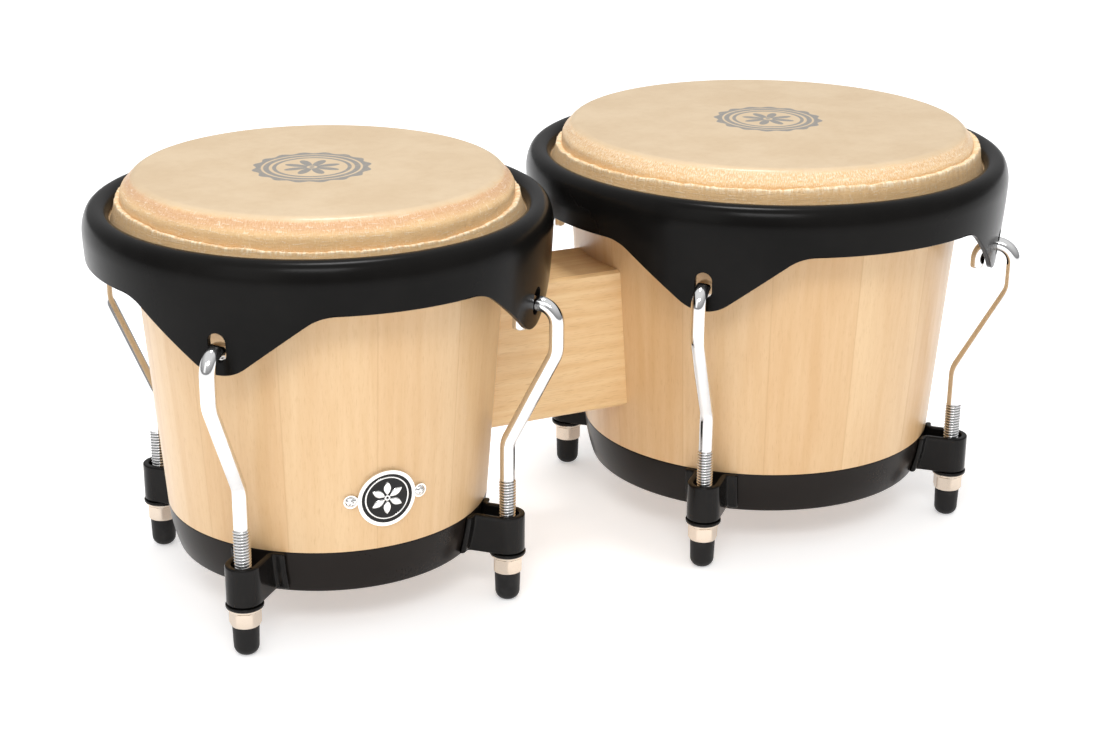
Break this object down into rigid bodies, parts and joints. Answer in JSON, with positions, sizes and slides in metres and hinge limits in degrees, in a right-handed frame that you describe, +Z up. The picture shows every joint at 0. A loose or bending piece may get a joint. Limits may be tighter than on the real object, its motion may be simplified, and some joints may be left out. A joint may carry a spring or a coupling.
{
  "type": "bongo drums",
  "caption": "Pair of wooden bongo drums on a centre block, with steel rims, hooked tuning rods, flanged nuts and rubber feet.",
  "frame": {"origin": "middle of the pair's footprint, on the surface that the rubber feet stand on", "axes": "+Z up, +X from the small drum to the large drum, -Y towards the badge side"},
  "size_m": [0.4266, 0.2212, 0.1842],
  "materials": {
    "shell_wood": "satin lacquered pale hardwood, upright grain",
    "block_wood": "satin lacquered pale hardwood, grain along the block",
    "rawhide": "smooth worn rawhide, darker and fibrous at the skirt",
    "rim_enamel": "satin black powder coat",
    "band_enamel": "satin black enamel",
    "lug_enamel": "gloss black enamel",
    "washer_black": "gloss black",
    "rod_chrome": "polished chrome",
    "nut_nickel": "nickel plate",
    "plain_steel": "zinc plated",
    "foot_rubber": "satin black rubber",
    "badge_metal": "polished",
    "badge_black": "gloss black enamel fill"
  },
  "bodies": {
    "shells": {"shell_small": "shell_wood", "bottom_band_small": "band_enamel", "head_skin_small": "rawhide", "block_saddle_small": "plain_steel", "lug_small_front_left": "lug_enamel", "lug_small_front_right": "lug_enamel", "lug_small_back_right": "lug_enamel", "lug_small_back_left": "lug_enamel", "shell_large": "shell_wood", "bottom_band_large": "band_enamel", "head_skin_large": "rawhide", "block_saddle_large": "plain_steel", "lug_large_front_left": "lug_enamel", "lug_large_front_right": "lug_enamel", "lug_large_back_right": "lug_enamel", "lug_large_back_left": "lug_enamel", "centre_block": "block_wood", "block_bolts": "plain_steel", "block_nuts": "plain_steel", "badge_plate": "badge_metal", "badge_field": "badge_black", "badge_screws": "badge_metal"},
    "rim_small_set": {"rim_small": "rim_enamel", "flesh_hoop_small": "plain_steel", "hook_rod_small_front_left": "rod_chrome", "hook_rod_small_front_right": "rod_chrome", "hook_rod_small_back_right": "rod_chrome", "hook_rod_small_back_left": "rod_chrome"},
    "rim_large_set": {"rim_large": "rim_enamel", "flesh_hoop_large": "plain_steel", "hook_rod_large_front_left": "rod_chrome", "hook_rod_large_front_right": "rod_chrome", "hook_rod_large_back_right": "rod_chrome", "hook_rod_large_back_left": "rod_chrome"},
    "nut_small_front_left": {"tuning_nut_small_front_left": "nut_nickel", "washer_small_front_left": "washer_black", "foot_small_front_left": "foot_rubber"},
    "nut_small_front_right": {"tuning_nut_small_front_right": "nut_nickel", "washer_small_front_right": "washer_black", "foot_small_front_right": "foot_rubber"},
    "nut_small_back_right": {"tuning_nut_small_back_right": "nut_nickel", "washer_small_back_right": "washer_black", "foot_small_back_right": "foot_rubber"},
    "nut_small_back_left": {"tuning_nut_small_back_left": "nut_nickel", "washer_small_back_left": "washer_black", "foot_small_back_left": "foot_rubber"},
    "nut_large_front_left": {"tuning_nut_large_front_left": "nut_nickel", "washer_large_front_left": "washer_black", "foot_large_front_left": "foot_rubber"},
    "nut_large_front_right": {"tuning_nut_large_front_right": "nut_nickel", "washer_large_front_right": "washer_black", "foot_large_front_right": "foot_rubber"},
    "nut_large_back_right": {"tuning_nut_large_back_right": "nut_nickel", "washer_large_back_right": "washer_black", "foot_large_back_right": "foot_rubber"},
    "nut_large_back_left": {"tuning_nut_large_back_left": "nut_nickel", "washer_large_back_left": "washer_black", "foot_large_back_left": "foot_rubber"}
  },
  "joints": [
    {"name": "tune_small", "type": "slide", "parent": "shells", "child": "rim_small_set", "axis": [0, 0, 1], "range_m": [-0.003, 0.003], "deforming": ["head_skin_small"]},
    {"name": "tune_large", "type": "slide", "parent": "shells", "child": "rim_large_set", "axis": [0, 0, 1], "range_m": [-0.003, 0.003], "deforming": ["head_skin_large"]},
    {"name": "turn_small_front_left", "type": "hinge", "parent": "shells", "child": "nut_small_front_left", "pos_m": [-0.17446, -0.0589, 0.0165], "axis": [0, 0, 1], "range_deg": [-840, 840]},
    {"name": "turn_small_front_right", "type": "hinge", "parent": "shells", "child": "nut_small_front_right", "pos_m": [-0.05666, -0.0589, 0.0165], "axis": [0, 0, 1], "range_deg": [-840, 840]},
    {"name": "turn_small_back_right", "type": "hinge", "parent": "shells", "child": "nut_small_back_right", "pos_m": [-0.05666, 0.0589, 0.0165], "axis": [0, 0, 1], "range_deg": [-840, 840]},
    {"name": "turn_small_back_left", "type": "hinge", "parent": "shells", "child": "nut_small_back_left", "pos_m": [-0.17446, 0.0589, 0.0165], "axis": [0, 0, 1], "range_deg": [-840, 840]},
    {"name": "turn_large_front_left", "type": "hinge", "parent": "shells", "child": "nut_large_front_left", "pos_m": [0.03584, -0.06689, 0.0165], "axis": [0, 0, 1], "range_deg": [-840, 840]},
    {"name": "turn_large_front_right", "type": "hinge", "parent": "shells", "child": "nut_large_front_right", "pos_m": [0.16962, -0.06689, 0.0165], "axis": [0, 0, 1], "range_deg": [-840, 840]},
    {"name": "turn_large_back_right", "type": "hinge", "parent": "shells", "child": "nut_large_back_right", "pos_m": [0.16962, 0.06689, 0.0165], "axis": [0, 0, 1], "range_deg": [-840, 840]},
    {"name": "turn_large_back_left", "type": "hinge", "parent": "shells", "child": "nut_large_back_left", "pos_m": [0.03584, 0.06689, 0.0165], "axis": [0, 0, 1], "range_deg": [-840, 840]}
  ],
  "couplings": [
    {"joint": "turn_small_front_left", "follows": "tune_small", "rad_per_m": -4833.2},
    {"joint": "turn_small_front_right", "follows": "tune_small", "rad_per_m": -4833.2},
    {"joint": "turn_small_back_right", "follows": "tune_small", "rad_per_m": -4833.2},
    {"joint": "turn_small_back_left", "follows": "tune_small", "rad_per_m": -4833.2},
    {"joint": "turn_large_front_left", "follows": "tune_large", "rad_per_m": -4833.2},
    {"joint": "turn_large_front_right", "follows": "tune_large", "rad_per_m": -4833.2},
    {"joint": "turn_large_back_right", "follows": "tune_large", "rad_per_m": -4833.2},
    {"joint": "turn_large_back_left", "follows": "tune_large", "rad_per_m": -4833.2}
  ]
}
